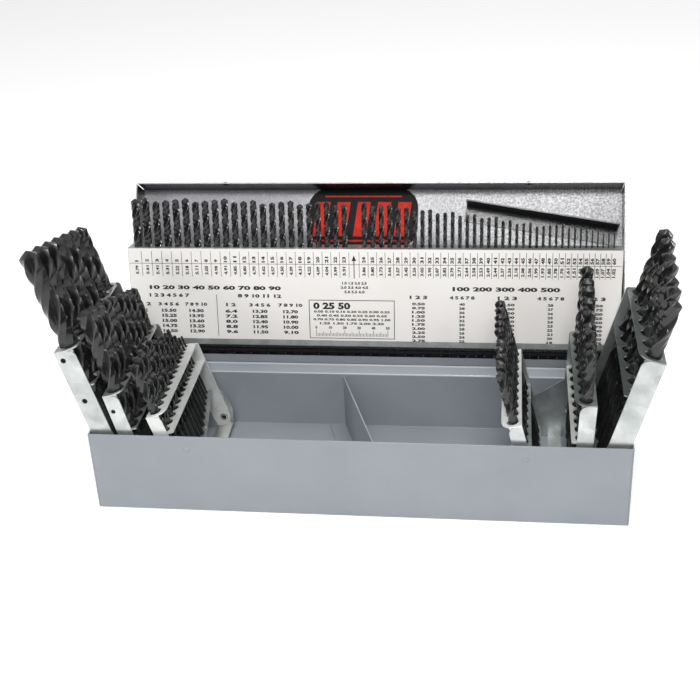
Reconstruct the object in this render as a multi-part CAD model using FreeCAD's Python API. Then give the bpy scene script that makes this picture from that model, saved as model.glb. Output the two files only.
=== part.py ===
import FreeCAD, Part
import math
import os
from FreeCAD import Placement, Rotation, Vector

# Drill bit case with a hinged lid, six tilting racks and a swing out gauge panel.
# Millimetres, +Z up, origin at the bottom centre of the base, front towards -Y.
# Racks are drawn upright about their pivot, then leaned; the lid is drawn closed, then opened.

# Sheet and fits
sheet = 0.9
press_gap = 0.3
pivot_clearance = 0.07
hole_clearance = 0.2
overrun = 5.0

# Base tray
base_width = 342.9
base_height = 57.15
bend_radius = 0.8
back_set_in = 6.0
ledge_drop = 9.35
ledge_run = 5.1
snap_out_share = 0.625
snap_drop = 9.5
snap_radius = 2.6
snap_flat_radius = 1.4
snap_height = 0.65

# Divider
divider_height = 40.0
divider_back_share = 0.1143
divider_front_share = 0.1027
divider_foot = 11.0

# Racks along the base
rack_front_gap = 2.5
rack_back_gap = 8.5
hole_web = 1.9
low_pivot_height = 11.0
pivot_rise = 13.2
left_step_middle = 16.7
left_step_inner = 29.7
right_step_middle = 15.3
right_step_inner = 26.6
rim_clearance = 0.35

# Rack leans at rest in degrees, outward positive
outer_lean = 15.5
left_middle_lean = 13.5
left_inner_lean = 17.0
right_middle_lean = 2.3
right_inner_lean = -14.5

# Rack sections, measured from the pivot
outer_plate_width = 16.0
middle_plate_width = 13.1
inner_plate_width = 12.8
outer_pivot_edge = 4.4
pivot_edge = 4.6
foot_edge = 3.9
outer_end_width = 13.6
middle_end_width = 10.0
inner_end_width = 9.0
hole_margin = 1.6
outer_top = 83.0
left_middle_top = 63.0
left_inner_top = 62.4
right_middle_top = 61.0
right_inner_top = 59.0
mid_plate_drop = 27.0
left_inner_drop = 14.5
outer_rest = -3.5
left_middle_rest = -10.0
right_middle_rest = -12.5
left_inner_rest = -6.0
right_inner_rest = -3.5
left_inner_rest_rise = 30.0
foot_height = 9.0
flare_height = 12.0
plate_corner = 8.0
end_corner = 5.0
tab_height = 11.0
row_end_gap = 1.2
rest_overlap = 0.3

# Pivot brackets and rivets
bracket_inner_edge = 6.5
bracket_step_low = 17.0
bracket_step_mid = 30.5
bracket_outer_edge = 11.0
bracket_top = 46.5
bracket_slope_run = 5.5
foot_tab_width = 9.0
foot_tab_length = 17.0
foot_tab_first = 13.0
foot_tab_second = 37.0
rivet_radius = 1.9
rivet_head_radius = 3.1
rivet_head = 0.8
rivet_play = 0.1

# Lid
lid_rise = 8.0
lid_overlap = 12.0
lid_side_gap = 0.35
lid_front_gap = 0.8
corner_slit = 0.7
open_angle = 125.0

# Piano hinge
hinge_end_gap = 6.45
knuckle_count = 11
knuckle_radius = 2.0
knuckle_gap = 0.4
hinge_pin_radius = 1.05
hinge_bore_clearance = 0.1
leaf_thickness = 0.8
leaf_height = 6.0
wall_drop = 2.35

# Stop rail in the lid
rail_end_gap = 2.8
rail_across = 104.6
rail_left_reach = 106.0
rail_right_reach = 89.1
rail_stand = 18.0
rail_foot = 11.5

# Gauge panel
panel_side_gap = 2.4
panel_height = 69.8
panel_flange = 12.5
panel_swing = 25.0
panel_pivot_reach = 6.5
panel_pivot_depth = 4.5
panel_pivot_back = 10.4
panel_pivot_drop = 1.1
panel_ear = 3.2
panel_rivet_radius = 1.5
panel_collar_radius = 2.6
panel_row_depth = 6.5
panel_mid_height = 50.0
panel_rest_left = 4.5
panel_rest_right = 38.7
panel_row_margin = 5.9
card_thickness = 0.25
card_bottom = 4.2
card_margin = 0.3
centre_drill_radius = 2.6
centre_drill_gap_share = 2.2
wire_gap_growth_share = 0.45

# Drill sizes: lengths and diameters are shares of one unit
size_unit = 25.4
fraction_step_count = 64
fraction_length_shares = (1.875, 2.0, 2.25, 2.625, 2.75, 2.875, 3.125, 3.25, 3.5, 3.625, 3.75,
                          3.875, 4.0, 4.125, 4.25, 4.375, 4.5, 4.625, 4.75, 4.875, 5.0, 5.125,
                          5.25, 5.375, 5.5, 5.625, 5.75, 5.875, 6.0)
letter_shares = (0.234, 0.238, 0.242, 0.246, 0.250, 0.257, 0.261, 0.266, 0.272, 0.277, 0.281,
                 0.290, 0.295, 0.302, 0.316, 0.323, 0.332, 0.339, 0.348, 0.358, 0.368, 0.377,
                 0.386, 0.397, 0.404, 0.413)
letter_length_shares = ((1, 3.875), (4, 4.0), (5, 4.125), (2, 4.25), (2, 4.375), (1, 4.5),
                        (1, 4.625), (2, 4.75), (2, 4.875), (2, 5.0), (2, 5.125), (2, 5.25))
wire_shares = (0.228, 0.221, 0.213, 0.209, 0.2055, 0.204, 0.201, 0.199, 0.196, 0.1935, 0.191,
               0.189, 0.185, 0.182, 0.180, 0.177, 0.173, 0.1695, 0.166, 0.161, 0.159, 0.157,
               0.154, 0.152, 0.1495, 0.147, 0.144, 0.1405, 0.136, 0.1285, 0.120, 0.116, 0.113,
               0.111, 0.110, 0.1065, 0.104, 0.1015, 0.0995, 0.098, 0.096, 0.0935, 0.089, 0.086,
               0.082, 0.081, 0.0785, 0.076, 0.073, 0.070, 0.067, 0.0635, 0.0595, 0.055, 0.052,
               0.0465, 0.043, 0.042, 0.041, 0.040)
wire_length_shares = ((2, 3.875), (4, 3.75), (4, 3.625), (3, 3.5), (4, 3.375), (4, 3.25),
                      (3, 3.125), (3, 3.0), (2, 2.875), (3, 2.75), (3, 2.625), (3, 2.5),
                      (3, 2.375), (2, 2.25), (3, 2.125), (5, 2.0), (4, 1.875), (2, 1.75),
                      (3, 1.625))
centre_hole_after_count = 23
outer_bit_count = 7
middle_bit_count = 9
flute_length_share = 0.74
flute_lead_share = 6.0
web_share = 0.42
point_share = 0.6
land_angle = 36
flute_band_angle = 90
fine_band_angle = 100
corner_step_count = 3
hole_side_count = 6
hidden_hole_side_count = 4
small_side_count = 6
rod_side_count = 5
rivet_side_count = 6
head_side_count = 6


# Shape helpers
def box(x, y, z):
    return Part.makeBox(x[1] - x[0], y[1] - y[0], z[1] - z[0], Vector(x[0], y[0], z[0]))


def outline(points):
    return Part.makePolygon(points + [points[0]])


def rounded(points, radii):
    # the same path with each corner rounded in a few steps to its own radius
    path = []
    for i, corner in enumerate(points):
        if radii[i] == 0:
            path.append(corner)
            continue
        before = (points[i - 1] - corner).normalize()
        after = (points[(i + 1) % len(points)] - corner).normalize()
        half = before.getAngle(after) / 2
        inward = (before + after).normalize()
        centre = corner + inward * (radii[i] / math.sin(half))
        start = corner + before * (radii[i] / math.tan(half)) - centre
        stop = corner + after * (radii[i] / math.tan(half)) - centre
        turn = start.getAngle(stop)
        for k in range(corner_step_count + 1):
            share = k / corner_step_count
            path.append(centre + start * (math.sin((1 - share) * turn) / math.sin(turn))
                        + stop * (math.sin(share * turn) / math.sin(turn)))
    return path


def arc_closed(path, middle):
    # wire along the path, closed by a true arc through the middle point
    arc = Part.Arc(path[-1], middle, path[0]).toShape()
    return Part.Wire(Part.makePolygon(path).Edges + [arc])


def many_sided(centre, across, sides, axis_x, axis_y):
    # polygon whose flats lie at the given radius from the centre
    corner = across / math.cos(math.pi / sides)
    ring = [(i + 0.5) * 2 * math.pi / sides for i in range(sides)]
    return outline([centre + axis_x * (corner * math.cos(a)) + axis_y * (corner * math.sin(a))
                    for a in ring])


def pierced(outer, holes, travel):
    return Part.makeFace([outer] + holes, "Part::FaceMakerBullseye").extrude(travel)


def rod(radius, sides, start, stop):
    # straight rod whose edges lie at the radius
    way = (stop - start).normalize()
    first = Vector(0, 0, 1) if abs(way.z) < 0.5 else Vector(1, 0, 0)
    second = way.cross(first)
    return Part.Face(many_sided(start, radius * math.cos(math.pi / sides), sides, first,
                                second)).extrude(stop - start)


def joined(shapes):
    return shapes[0].multiFuse(shapes[1:]).removeSplitter()


def closed_skin(rings, apex):
    # solid through equal rings of points, with a flat start and a point at the far end
    faces = [Part.Face(outline(rings[0]))]
    count = len(rings[0])
    for low, high in zip(rings, rings[1:]):
        for i in range(count):
            j = (i + 1) % count
            faces.append(Part.Face(outline([low[i], low[j], high[i]])))
            faces.append(Part.Face(outline([low[j], high[j], high[i]])))
    for i in range(count):
        faces.append(Part.Face(outline([rings[-1][i], rings[-1][(i + 1) % count], apex])))
    shell = Part.makeShell(faces)
    shell.sewShape()
    solid = Part.makeSolid(shell)
    if solid.Volume < 0:
        solid.reverse()
    return solid


def ring_of(radius, degrees, shares, turn, height):
    return [Vector(radius * share * math.cos(math.radians(a + turn)),
                   radius * share * math.sin(math.radians(a + turn)), height)
            for a, share in zip(degrees, shares)]


def fluted_bit(diameter, length, band_angle, wide_lands):
    # round shank, then two flutes that wind up to the point
    radius = diameter / 2
    if wide_lands:
        degrees = (-land_angle, land_angle, 90, 180 - land_angle, 180 + land_angle, 270)
        cut = (1, 1, web_share, 1, 1, web_share)
    else:
        degrees = (0, 90, 180, 270)
        cut = (1, web_share, 1, web_share)
    whole = [1] * len(cut)
    point = radius * point_share
    flutes = length * flute_length_share
    start = length - flutes
    top = length - point
    turn = 360 * (flutes - point) / (diameter * flute_lead_share)
    bands = math.ceil(turn / band_angle)
    rings = [ring_of(radius, degrees, whole, 0, 0),
             ring_of(radius, degrees, whole, 0, start)]
    for k in range(1, bands + 1):
        height = start + (top - start) * k / bands
        rings.append(ring_of(radius, degrees, cut, turn * k / bands, height))
    return closed_skin(rings, Vector(0, 0, length))


def plain_bit(diameter, length, sides):
    radius = diameter / 2
    degrees = [360 * k / sides for k in range(sides)]
    whole = [1] * sides
    rings = [ring_of(radius, degrees, whole, 0, 0),
             ring_of(radius, degrees, whole, 0, length - radius * point_share)]
    return closed_skin(rings, Vector(0, 0, length))


def spread(pairs):
    return [share for count, share in pairs for _ in range(count)]


# Drill bits of each set, as pairs of diameter and length
fractions = [(size_unit * (k + 4) / fraction_step_count, size_unit * share)
             for k, share in enumerate(fraction_length_shares)]
letters = [(size_unit * share, size_unit * long_share)
           for share, long_share in zip(letter_shares, spread(letter_length_shares))]
wires = [(size_unit * share, size_unit * long_share)
         for share, long_share in zip(wire_shares, spread(wire_length_shares))]
downward = fractions[::-1]
left_rows = (downward[:outer_bit_count],
             downward[outer_bit_count:outer_bit_count + middle_bit_count],
             downward[outer_bit_count + middle_bit_count:])
right_rows = (letters[-outer_bit_count:],
              letters[-outer_bit_count - middle_bit_count:-outer_bit_count],
              letters[:-outer_bit_count - middle_bit_count])

# Places worked out from the sizes
rack_length = (sum(diameter for diameter, _ in left_rows[0])
               + (outer_bit_count - 1) * hole_web + 2 * (row_end_gap + 2 * sheet))
base_depth = 2 * sheet + rack_front_gap + rack_length + rack_back_gap + back_set_in
half_width = base_width / 2
half_depth = base_depth / 2
inner_half = half_width - sheet
inside_front = -half_depth + sheet
inside_back = half_depth - sheet
inside_back_low = inside_back - back_set_in
rack_front = inside_front + rack_front_gap
rack_back = rack_front + rack_length
outer_reach = outer_plate_width - outer_pivot_edge
outer_pivot_height = low_pivot_height + 2 * pivot_rise
lean = math.radians(outer_lean)
rim_above = base_height - outer_pivot_height
outer_pivot = inner_half - (outer_reach + rim_clearance
                            + rim_above * math.sin(lean)) / math.cos(lean)
hinge_y = half_depth - sheet - leaf_thickness + knuckle_radius
hinge_z = base_height
lid_top = base_height + lid_rise
lid_depth = lid_rise + lid_overlap
lid_inner = half_width + lid_side_gap
lid_outer = lid_inner + sheet
lid_front_in = -half_depth - lid_front_gap
lid_front = lid_front_in - sheet
snap_z = base_height - snap_drop
snap_out = half_width * snap_out_share
ledge_high = base_height - ledge_drop
ledge_low = ledge_high - ledge_run
divider_back_x = -half_width * divider_back_share
divider_front_x = half_width * divider_front_share
hinge_length = base_width - 2 * hinge_end_gap
rail_right_x = lid_inner - rail_end_gap
rail_left_x = rail_right_x - rail_across

parts = {}

# Base tray: a bent section with a stepped back wall, closed by two end walls
outside = [Vector(-half_width, y, z) for y, z in (
    (-half_depth, 0), (-half_depth, base_height), (half_depth, base_height),
    (half_depth, ledge_high), (half_depth - back_set_in, ledge_low),
    (half_depth - back_set_in, 0))]
inside = [Vector(-inner_half, y, z) for y, z in (
    (inside_front, sheet), (inside_front, base_height + overrun),
    (inside_back, base_height + overrun), (inside_back, ledge_high),
    (inside_back_low, ledge_low), (inside_back_low, sheet))]
body = Part.Face(outline(outside)).extrude(Vector(base_width, 0, 0))
bend_edges = [e for e in body.Edges if e.BoundBox.ZMax < sheet]
body = body.makeFillet(bend_radius, [e for e in bend_edges if e.BoundBox.XLength > base_width / 2])
tray = body.cut(Part.Face(outline(inside)).extrude(Vector(2 * inner_half, 0, 0)))
hinge_relief = box((-hinge_length / 2 - press_gap, hinge_length / 2 + press_gap),
                   (inside_back - sheet, half_depth + sheet),
                   (base_height - wall_drop, base_height + overrun))
tray = tray.cut(hinge_relief)


def pressed(centre):
    # frustum that narrows towards the front from the given point
    rings = [many_sided(centre, snap_radius, head_side_count, Vector(1, 0, 0), Vector(0, 0, 1)),
             many_sided(centre - Vector(0, snap_height, 0), snap_flat_radius, head_side_count,
                        Vector(1, 0, 0), Vector(0, 0, 1))]
    return Part.makeLoft(rings, True, True)


for side in (-1, 1):
    tray = tray.fuse(pressed(Vector(side * snap_out, -half_depth, snap_z)))
    tray = tray.cut(pressed(Vector(side * snap_out, inside_front, snap_z)))
parts["base_tray"] = tray.removeSplitter()

# Divider: a slanted plate with a foot turned to its left
run = Vector(divider_front_x - divider_back_x, inside_front - inside_back_low, 0)
across = sheet * run.Length / abs(run.y)
foot_across = divider_foot * run.Length / abs(run.y)


def slanted(left, right, low, high):
    corners = [Vector(divider_back_x + left, inside_back_low, low),
               Vector(divider_back_x + right, inside_back_low, low),
               Vector(divider_front_x + right, inside_front, low),
               Vector(divider_front_x + left, inside_front, low)]
    return Part.Face(outline(corners)).extrude(Vector(0, 0, high - low))


parts["divider"] = joined([slanted(0, across, sheet, sheet + divider_height),
                           slanted(-foot_across, 0, sheet, 2 * sheet)])

# Racks: bits run from front to back
racks = (
    ("left_outer", -1, 0, 2, outer_lean, outer_plate_width, outer_pivot_edge, foot_edge,
     outer_end_width, outer_top, mid_plate_drop, outer_rest, 0, left_rows[0]),
    ("left_middle", -1, left_step_middle, 1, left_middle_lean, middle_plate_width, pivot_edge,
     pivot_edge, middle_end_width, left_middle_top, mid_plate_drop, left_middle_rest, 0,
     left_rows[1]),
    ("left_inner", -1, left_step_middle + left_step_inner, 0, left_inner_lean,
     inner_plate_width, pivot_edge, pivot_edge, inner_end_width, left_inner_top,
     left_inner_drop, left_inner_rest, left_inner_rest_rise, left_rows[2]),
    ("right_outer", 1, 0, 2, outer_lean, outer_plate_width, outer_pivot_edge, foot_edge,
     outer_end_width, outer_top, mid_plate_drop, outer_rest, 0, right_rows[0]),
    ("right_middle", 1, right_step_middle, 1, right_middle_lean, middle_plate_width,
     pivot_edge, pivot_edge, middle_end_width, right_middle_top, mid_plate_drop,
     right_middle_rest, 0, right_rows[1]),
    ("right_inner", 1, right_step_middle + right_step_inner, 0, right_inner_lean,
     inner_plate_width, pivot_edge, pivot_edge, inner_end_width, right_inner_top,
     mid_plate_drop, right_inner_rest, 0, right_rows[2]),
)
pivots = {}

for (name, side, step, level, angle, plate_width, edge, foot, end_width, top, drop, rest,
     rest_rise, bits) in racks:
    pivot = Vector(side * (outer_pivot - step), 0, low_pivot_height + level * pivot_rise)
    pivots[name] = pivot
    reach = plate_width - edge
    biggest = max(diameter for diameter, _ in bits)
    row = reach - hole_margin - biggest / 2
    mid = top - drop
    leaned = Placement(pivot, Rotation(Vector(0, 1, 0), side * angle))

    def at(out, y, up, side=side):
        return Vector(side * out, y, up)

    # Row of bits and its holes, spread evenly between the end tabs
    first = rack_front + 2 * sheet + row_end_gap
    last = rack_back - 2 * sheet - row_end_gap
    spare = last - first - sum(diameter for diameter, _ in bits)
    web = spare / (len(bits) - 1)
    y = first
    places = []
    for diameter, length in bits:
        places.append((y + diameter / 2, diameter, length))
        y += diameter + web

    def row_holes(up, sides):
        return [many_sided(at(row, y, up), diameter / 2 + hole_clearance, sides,
                           Vector(0, 1, 0), Vector(1, 0, 0)) for y, diameter, _ in places]

    # Top plate lies over the end plates, mid plate sits between them, both with end tabs
    for piece, up, low_y, high_y, corner, sides in (
            ("top_plate", top, rack_front, rack_back, plate_corner, hole_side_count),
            ("mid_plate", mid, rack_front + sheet, rack_back - sheet, 0,
             hidden_hole_side_count)):
        corners = [at(reach, low_y, up - sheet), at(reach, high_y, up - sheet),
                   at(-edge, high_y, up - sheet), at(-edge, low_y, up - sheet)]
        rounds = (0, 0, corner, corner)
        shapes = [pierced(outline(rounded(corners, rounds)), row_holes(up - sheet, sides),
                          Vector(0, 0, sheet))]
        for tab_y in (rack_front + sheet, rack_back - 2 * sheet):
            lows = sorted((side * (reach - end_width + sheet), side * (reach - sheet)))
            shapes.append(box(lows, (tab_y, tab_y + sheet), (up - tab_height, up - sheet)))
        solid = joined(shapes)
        solid.Placement = leaned
        parts[name + "_" + piece] = solid

    # Rest under the shanks, which climbs to the back where short drills stand on it
    half_rest = biggest / 2 + rest_overlap
    slope = rest_rise / (rack_length - 2 * sheet)
    ends = (rack_front + sheet, rack_back - sheet)
    strip = Part.Face(outline([at(row - half_rest, ends[0], rest - sheet),
                               at(row - half_rest, ends[0], rest),
                               at(row - half_rest, ends[1], rest + rest_rise),
                               at(row - half_rest, ends[1], rest + rest_rise - sheet)]))
    strip = strip.extrude(at(2 * half_rest, 0, 0))
    strip.Placement = leaned
    parts[name + "_rest"] = strip

    # End plates carry the pivot at the foot, rounded about it, and the rest between them
    low = min(rest - sheet, -foot)
    inner_top = reach - end_width
    bottom_in = min(row - half_rest, -foot / 2)
    diagonal = foot * math.sqrt(0.5)
    half_turn = math.radians(22.5)
    corners = [at(-diagonal, 0, -diagonal), at(bottom_in, 0, low), at(row + half_rest, 0, low),
               at(reach, 0, low + foot_height), at(reach, 0, top - sheet),
               at(inner_top, 0, top - sheet), at(inner_top, 0, foot_height + flare_height),
               at(-foot, 0, foot_height), at(-foot, 0, 0)]
    middle = at(-foot * math.cos(half_turn), 0, -foot * math.sin(half_turn))
    rounds = [end_corner if corner == corners[5] else 0 for corner in corners]
    for piece, y in (("end_front", rack_front), ("end_back", rack_back - sheet)):
        shift = Vector(0, y, 0)
        outer = arc_closed([p + shift for p in rounded(corners, rounds)], middle + shift)
        hole = many_sided(shift, rivet_radius + pivot_clearance, rivet_side_count,
                          Vector(1, 0, 0), Vector(0, 0, 1))
        solid = pierced(outer, [hole], Vector(0, sheet, 0))
        solid.Placement = leaned
        parts[name + "_" + piece] = solid

    # The bits stand on the rest
    solids = []
    for y, diameter, length in places:
        if level == 2:
            bit = fluted_bit(diameter, length, flute_band_angle, True)
        elif level == 1:
            bit = fluted_bit(diameter, length, fine_band_angle, False)
        else:
            bit = plain_bit(diameter, length, small_side_count)
        lift = rest + (y + diameter / 2 - ends[0]) * slope
        if slope:
            lift += rivet_play / 2
        bit.Placement = leaned.multiply(Placement(at(row, y, lift), Rotation()))
        solids.append(bit)
    parts[name + "_bits"] = Part.makeCompound(solids)

# Pivot brackets with stepped tops, and the rivets that the racks turn on
for label, side in (("left", -1), ("right", 1)):
    inner_x = pivots[label + "_inner"].x - side * bracket_inner_edge
    outer_x = pivots[label + "_outer"].x + side * bracket_outer_edge
    for place, y, inward in (("front", rack_front - press_gap - sheet, 1),
                             ("back", rack_back + press_gap, -1)):
        corners = [Vector(inner_x, y, sheet), Vector(inner_x, y, bracket_step_low),
                   Vector(inner_x + side * bracket_slope_run, y, bracket_step_mid),
                   Vector(pivots[label + "_middle"].x - side * pivot_edge, y, bracket_top),
                   Vector(outer_x, y, bracket_top), Vector(outer_x, y, sheet)]
        holes = [many_sided(pivots[label + rank] + Vector(0, y, 0), rivet_radius,
                            head_side_count, Vector(1, 0, 0), Vector(0, 0, 1))
                 for rank in ("_outer", "_middle", "_inner")]
        shapes = [pierced(outline(corners), holes, Vector(0, sheet, 0))]
        for from_inner in (foot_tab_first, foot_tab_second):
            start = inner_x + side * (bracket_inner_edge + from_inner)
            span = sorted((start, start + side * foot_tab_width))
            reach_y = sorted((y, y + inward * foot_tab_length))
            shapes.append(box(span, reach_y, (sheet, 2 * sheet)))
        parts["bracket_" + label + "_" + place] = joined(shapes)
    rivets = []
    for rank in ("_outer", "_middle", "_inner"):
        pivot = pivots[label + rank]
        for y, way in ((rack_front, 1), (rack_back, -1)):
            def along(distance):
                return Vector(pivot.x, y + way * distance, pivot.z)
            behind = -press_gap - sheet
            within = sheet + rivet_play
            rivets.append(joined([rod(rivet_head_radius, head_side_count,
                                      along(behind - rivet_head), along(behind)),
                                  rod(rivet_radius, rivet_side_count, along(behind),
                                      along(within)),
                                  rod(rivet_head_radius, head_side_count, along(within),
                                      along(within + rivet_head))]))
    parts["pivot_rivets_" + label] = Part.makeCompound(rivets)

# Piano hinge: leaves with knuckles in turn on one pin
hinge = Vector(0, hinge_y, hinge_z)
leaf_y = (inside_back - leaf_thickness, inside_back)
pitch = hinge_length / knuckle_count
leaves = {"hinge_base_leaf": [], "hinge_lid_leaf": []}
for k in range(knuckle_count):
    start = -hinge_length / 2 + k * pitch + knuckle_gap / 2
    stop = start + pitch - knuckle_gap
    node = "hinge_lid_leaf" if k % 2 else "hinge_base_leaf"
    tube = rod(knuckle_radius, head_side_count, hinge + Vector(start, 0, 0),
               hinge + Vector(stop, 0, 0))
    tongue_z = (hinge_z, hinge_z + wall_drop) if k % 2 else (hinge_z - wall_drop, hinge_z)
    solid = tube.fuse(box((start, stop), leaf_y, tongue_z))
    bore = rod((hinge_pin_radius + hinge_bore_clearance) / math.cos(math.pi / head_side_count),
               head_side_count, hinge + Vector(start - overrun, 0, 0),
               hinge + Vector(stop + overrun, 0, 0))
    leaves[node].append(solid.cut(bore))
span = (-hinge_length / 2, hinge_length / 2)
leaves["hinge_base_leaf"].append(box(span, leaf_y, (hinge_z - wall_drop - leaf_height,
                                                    hinge_z - wall_drop)))
leaves["hinge_lid_leaf"].append(box(span, leaf_y, (hinge_z + wall_drop, lid_top - sheet)))
parts["hinge_base_leaf"] = joined(leaves["hinge_base_leaf"])
parts["hinge_pin"] = Part.makeCylinder(hinge_pin_radius, hinge_length,
                                       hinge + Vector(span[0], 0, 0), Vector(1, 0, 0))

# Lid drawn closed over the base, with slit corners at its free edge
opened = Placement(hinge, Rotation(Vector(1, 0, 0), -open_angle)).multiply(
    Placement(-hinge, Rotation()))
lid_low = lid_top - lid_depth
shell = box((-lid_outer, lid_outer), (lid_front, half_depth), (lid_low, lid_top))
bend_edges = [e for e in shell.Edges
              if e.BoundBox.ZMin > lid_top - sheet and e.BoundBox.XLength > base_width / 2]
shell = shell.makeFillet(bend_radius, bend_edges)
shell = shell.cut(box((-lid_inner, lid_inner), (lid_front_in, inside_back),
                      (lid_low - overrun, lid_top - sheet)))
shell = shell.cut(box((-lid_inner, lid_inner), (inside_back - sheet, half_depth + sheet),
                      (lid_low - overrun, base_height + wall_drop)))
for side in (-1, 1):
    # the free rear ends of the side flanges clear the back wall, the front corners are slit
    slit = box((-corner_slit / 2, corner_slit / 2), (-overrun, overrun),
               (lid_low - overrun, lid_top - sheet - bend_radius))
    slit.Placement = Placement(Vector(side * lid_inner, lid_front_in, 0),
                               Rotation(Vector(0, 0, 1), side * 45))
    shell = shell.cut(slit)
    shell = shell.fuse(pressed(Vector(side * snap_out, lid_front, snap_z)))
    shell = shell.cut(pressed(Vector(side * snap_out, lid_front_in, snap_z)))


def lid_point(x, reach, depth):
    # reach from the hinge along the lid, depth in from its outer face
    return Vector(x, hinge_y - reach, lid_top - depth)


for side in (-1, 1):
    shell = shell.cut(rod(panel_rivet_radius, rivet_side_count,
                          lid_point(side * (lid_inner - sheet), panel_pivot_reach,
                                    panel_pivot_depth),
                          lid_point(side * (lid_outer + sheet), panel_pivot_reach,
                                    panel_pivot_depth)))
shell = shell.removeSplitter()
shell.Placement = opened
parts["lid_shell"] = shell
leaf = joined(leaves["hinge_lid_leaf"])
leaf.Placement = opened
parts["hinge_lid_leaf"] = leaf

# Stop rail: an angle strip set askew on the lid's inner face
rail_run = lid_point(rail_right_x, rail_right_reach, sheet) - lid_point(
    rail_left_x, rail_left_reach, sheet)
rail_turn = math.degrees(math.atan2(rail_run.y, rail_run.x))
rail = joined([box((0, rail_run.Length), (-sheet, 0), (-rail_stand, 0)),
               box((0, rail_run.Length), (0, rail_foot), (-sheet, 0))])
rail.Placement = opened.multiply(Placement(lid_point(rail_left_x, rail_left_reach, sheet),
                                           Rotation(Vector(0, 0, 1), rail_turn)))
parts["stop_rail"] = rail

# Gauge panel, drawn upright with its foot at zero and its depth along +Y, then swung out
panel_pivot = opened.multVec(lid_point(0, panel_pivot_reach, panel_pivot_depth))
panel_lean = open_angle - 90 - panel_swing
foot_to_pivot = Vector(0, panel_pivot_back, -panel_pivot_drop)
swung = Placement(panel_pivot, Rotation(Vector(1, 0, 0), -panel_lean)).multiply(
    Placement(-foot_to_pivot, Rotation()))
half_panel = lid_inner - panel_side_gap
half_between = half_panel - sheet
panel_row_end = half_panel - panel_row_margin
row_length = 2 * panel_row_end
sum_inner = sum(d for d, _ in wires) - wires[0][0] / 2 - wires[-1][0] / 2
growth = [1 + wire_gap_growth_share * k / len(wires) for k in range(len(wires) - 1)]
growth[centre_hole_after_count - 1] *= centre_drill_gap_share
extra = 2 * centre_drill_radius
unit_gap = (row_length - sum_inner - extra) / sum(growth)
wire_places = []
x = -panel_row_end
for k, (diameter, length) in enumerate(wires):
    wire_places.append((x, diameter, length))
    if k < len(wires) - 1:
        gap = growth[k] * unit_gap + (diameter + wires[k + 1][0]) / 2
        if k == centre_hole_after_count - 1:
            centre_x = x + diameter / 2 + (growth[k] * unit_gap + extra) / 2
            gap += extra
        x += gap


def gauge_holes(up, sides, centre_drill):
    return [centre_drill] + [many_sided(Vector(px, panel_row_depth, up), d / 2 + hole_clearance,
                                        sides, Vector(1, 0, 0), Vector(0, 1, 0))
                             for px, d, _ in wire_places]


def panel_strip(half, up, sides, centre_drill):
    return pierced(outline([Vector(-half, sheet, up), Vector(half, sheet, up),
                            Vector(half, panel_flange, up), Vector(-half, panel_flange, up)]),
                   gauge_holes(up, sides, centre_drill), Vector(0, 0, sheet))


def centre_spot(up):
    return Vector(centre_x, panel_row_depth, up)


face = box((-half_panel, half_panel), (0, sheet), (0, panel_height))
panel_parts = {
    "gauge_panel": joined([face, panel_strip(
        half_panel, panel_height - sheet, small_side_count,
        Part.Wire(Part.makeCircle(centre_drill_radius, centre_spot(panel_height - sheet))))]),
    "gauge_mid_plate": panel_strip(
        half_between, panel_mid_height - sheet, hidden_hole_side_count,
        many_sided(centre_spot(panel_mid_height - sheet), centre_drill_radius, rivet_side_count,
                   Vector(1, 0, 0), Vector(0, 1, 0))),
    "label_card": box((-half_panel + card_margin, half_panel - card_margin),
                      (-card_thickness, 0), (card_bottom, panel_height - card_margin)),
}
rest_slope = (panel_rest_right - panel_rest_left) / row_length


def rest_height(x):
    return panel_rest_left + (x + panel_row_end) * rest_slope


panel_parts["gauge_rest"] = Part.Face(outline(
    [Vector(-half_between, sheet, rest_height(-half_between)),
     Vector(half_between, sheet, rest_height(half_between)),
     Vector(half_between, sheet, rest_height(half_between) - sheet),
     Vector(-half_between, sheet, rest_height(-half_between) - sheet)])).extrude(
         Vector(0, panel_flange - sheet, 0))
for label, start in (("left", -half_panel), ("right", half_between)):
    ear = Vector(start, panel_pivot_back, -panel_pivot_drop)
    corners = [ear + Vector(0, 0, -panel_ear), Vector(start, panel_pivot_back - 2 * panel_ear, 0),
               Vector(start, sheet, 0), Vector(start, sheet, panel_height - sheet),
               Vector(start, panel_flange, panel_height - sheet), ear + Vector(0, panel_ear, 0)]
    middle = ear + Vector(0, panel_ear, -panel_ear) * math.sqrt(0.5)
    hole = many_sided(ear, panel_rivet_radius + pivot_clearance, rivet_side_count,
                      Vector(0, 1, 0), Vector(0, 0, 1))
    panel_parts["gauge_end_" + label] = pierced(arc_closed(corners, middle), [hole],
                                                Vector(sheet, 0, 0))
stack = []
for px, diameter, length in wire_places:
    bit = plain_bit(diameter, length, rod_side_count)
    lift = rest_height(px) + diameter / 2 * rest_slope + rivet_play / 2
    bit.Placement = swung.multiply(Placement(Vector(px, panel_row_depth, lift), Rotation()))
    stack.append(bit)
for node, solid in panel_parts.items():
    solid.Placement = swung
    parts[node] = solid
parts["gauge_bits"] = Part.makeCompound(stack)

# Rivets that carry the gauge panel on the lid's side flanges
carriers = []
for side in (-1, 1):
    def out(x):
        return lid_point(side * x, panel_pivot_reach, panel_pivot_depth)
    inner_face = half_panel - sheet
    carriers.append(joined([
        rod(rivet_head_radius, head_side_count, out(lid_outer), out(lid_outer + rivet_head)),
        rod(panel_rivet_radius, rivet_side_count, out(inner_face - rivet_play),
            out(lid_outer)),
        rod(panel_collar_radius, head_side_count, out(half_panel + rivet_play),
            out(lid_inner)),
        rod(panel_collar_radius, head_side_count, out(inner_face - rivet_play - rivet_head),
            out(inner_face - rivet_play))]))
    carriers[-1].Placement = opened
parts["gauge_rivets"] = Part.makeCompound(carriers)

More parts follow.
